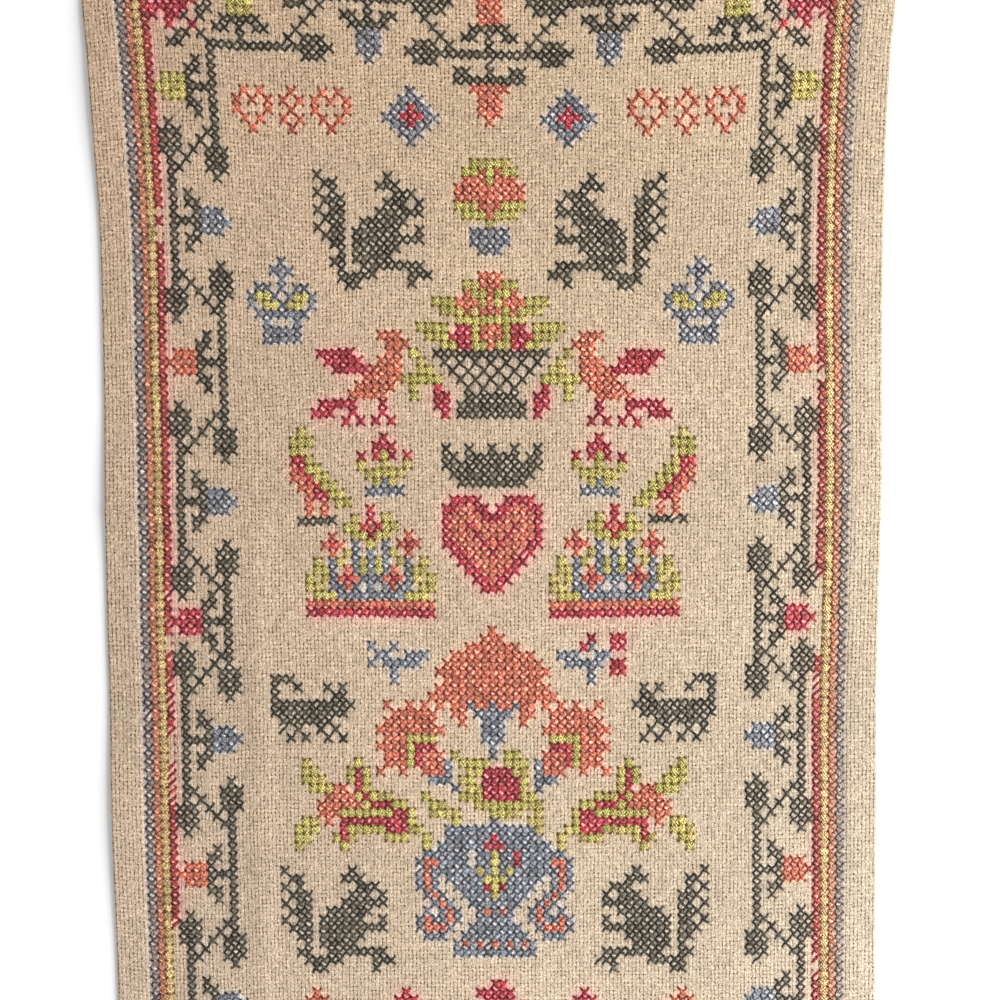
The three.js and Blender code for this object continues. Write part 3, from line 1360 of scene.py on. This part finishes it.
FLOSS = {  # first and second dye
    "K": ((74, 64, 48), (80, 75, 64)),
    "C": ((195, 99, 79), (169, 113, 87)),
    "R": ((166, 53, 65), (146, 66, 57)),
    "Y": ((195, 186, 108), (214, 181, 134)),
    "B": ((108, 114, 124), (119, 102, 92)),
}
SUNK_TINT = {  # the share of light that is left where a thread goes down its hole
    "K": (0.24, 0.21, 0.18, 1.0),
    "C": (0.36, 0.15, 0.09, 1.0),
    "R": (0.42, 0.18, 0.20, 1.0),
    "Y": (0.28, 0.18, 0.055, 1.0),
    "B": (0.22, 0.22, 0.24, 1.0),
}


def thread_material(letter):
    """Stranded cotton: soft plies on the twist with painted highlights, uneven in its dye, in
    painted shade on its flanks and where it goes down its holes.
    """
    n = Nodes(f"{COLOUR_NAMES[letter]}_floss")
    along, around, tone = n.split(n.attribute("strand")["Vector"])
    place, second, _ = n.split(n.attribute("finish")["Vector"])
    # Painted highlights along the plies of the twist, which also raise the bump.
    twist = n.math("SINE", n.times(n.times_plus(around, 2.2, along), 5.0))
    fuzz = n.noise(n.vector(along, n.times(around, 2.0)), 1.5, 2.0)
    fuzz = n.fade(fuzz, 0.34, 0.66)
    from_middle = n.math("ABSOLUTE", n.minus(place, 0.5))
    sunk = n.fade(from_middle, 0.28, 0.46)
    # Painted light on the thread's rounding: the crown painted lighter, the flanks in painted
    # shade.
    from_crown = n.math("ABSOLUTE", n.minus(around, 0.4))
    flank_shade = n.fade(from_crown, 0.02, 0.24)
    shade = n.times_plus(twist, 0.16, tone)
    shade = n.times(shade, n.times_plus(fuzz, 1.5, 0.28))
    shade = n.times(shade, n.times_plus(flank_shade, -0.42, 1.0))
    first_dye, second_dye = [(*linear(dye), 1.0) for dye in FLOSS[letter]]
    # The dyed colour carries the painted highlights and shade above.
    dyed = n.scaled(n.mixed(second, first_dye, second_dye), shade)
    # painted shade where the thread goes down its hole
    dyed = n.mixed(sunk, dyed, SUNK_TINT[letter], "MULTIPLY")
    n.feed(n.shader.inputs["Base Color"], dyed)
    n.shader.inputs["Roughness"].default_value = 0.7
    n.shader.inputs["Specular IOR Level"].default_value = 0.16
    n.shader.inputs["Sheen Weight"].default_value = 0.05
    n.shader.inputs["Sheen Roughness"].default_value = 0.5
    height = n.times_plus(fuzz, 0.5, twist)
    n.feed(n.shader.inputs["Normal"], n.bump(height, 0.5, 0.00008))
    return n.material


# ---- stage

FLOOR_HALF = 1.5  # metres, as the next size is, and the window's
FLOOR_DROP = 0.00004  # clear of the underside of the cloth
CAMERA_AT = (1.4, 53.7, 302.8)  # millimetres
CAMERA_TURN = (-3.306, -0.199, -0.349)  # degrees about X, Y and Z
CAMERA_LENS = 36.0
WINDOW_AT = (0.7, -0.1, 0.5)
WINDOW_SIZE = 0.6
WINDOW_POWER = 11.5
ROOM_LIGHT = 0.58


def stage():
    floor_mesh = bpy.data.meshes.new("pale_floor")
    corners = [(-1, -1), (1, -1), (1, 1), (-1, 1)]
    corners = [(a * FLOOR_HALF, b * FLOOR_HALF, -FLOOR_DROP) for a, b in corners]
    floor_mesh.from_pydata(corners, [], [(0, 1, 2, 3)])
    paint = Nodes("pale_floor")
    paint.shader.inputs["Base Color"].default_value = (0.93, 0.93, 0.93, 1)
    paint.shader.inputs["Roughness"].default_value = 0.9
    floor_mesh.materials.append(paint.material)
    placed("pale_floor", floor_mesh)


def window_light():
    """A wide soft light that faces the middle of the table."""
    light = bpy.data.lights.new("soft_window", "AREA")
    light.shape = "SQUARE"
    light.size = WINDOW_SIZE
    light.energy = WINDOW_POWER
    item = placed("soft_window", light)
    item.location = WINDOW_AT
    x, y, z = WINDOW_AT
    item.rotation_euler = (math.atan2(math.hypot(x, y), z), 0, math.atan2(x, -y))


def lights_and_camera():
    scene = bpy.context.scene
    scene.view_settings.view_transform = "Standard"
    world = bpy.data.worlds.new("soft_room")
    world.use_nodes = True
    sky = world.node_tree.nodes["Background"]
    sky.inputs["Color"].default_value = (1, 1, 1, 1)
    sky.inputs["Strength"].default_value = ROOM_LIGHT
    scene.world = world
    window_light()
    camera = placed("camera", bpy.data.cameras.new("camera"))
    camera.data.lens = CAMERA_LENS
    camera.data.clip_start = 0.01
    camera.location = [v * MM for v in CAMERA_AT]
    camera.rotation_euler = [math.radians(v) for v in CAMERA_TURN]
    scene.camera = camera


# ---- the sampler


def sampler():
    stitches = whole_chart()
    states = {key: condition(*key, *value) for key, value in stitches.items()}
    cloth = cloth_piece(stitches, states)
    cloth.data.materials.append(evenweave_material())
    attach(cloth, "root")
    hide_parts("ground_cloth")
    threads = {letter: thread_material(letter) for letter in COLOUR_NAMES}
    for piece, letter in stitch_pieces(stitches, states):
        piece.data.materials.append(threads[letter])
        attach(piece, "root")


sampler()
stage()
lights_and_camera()
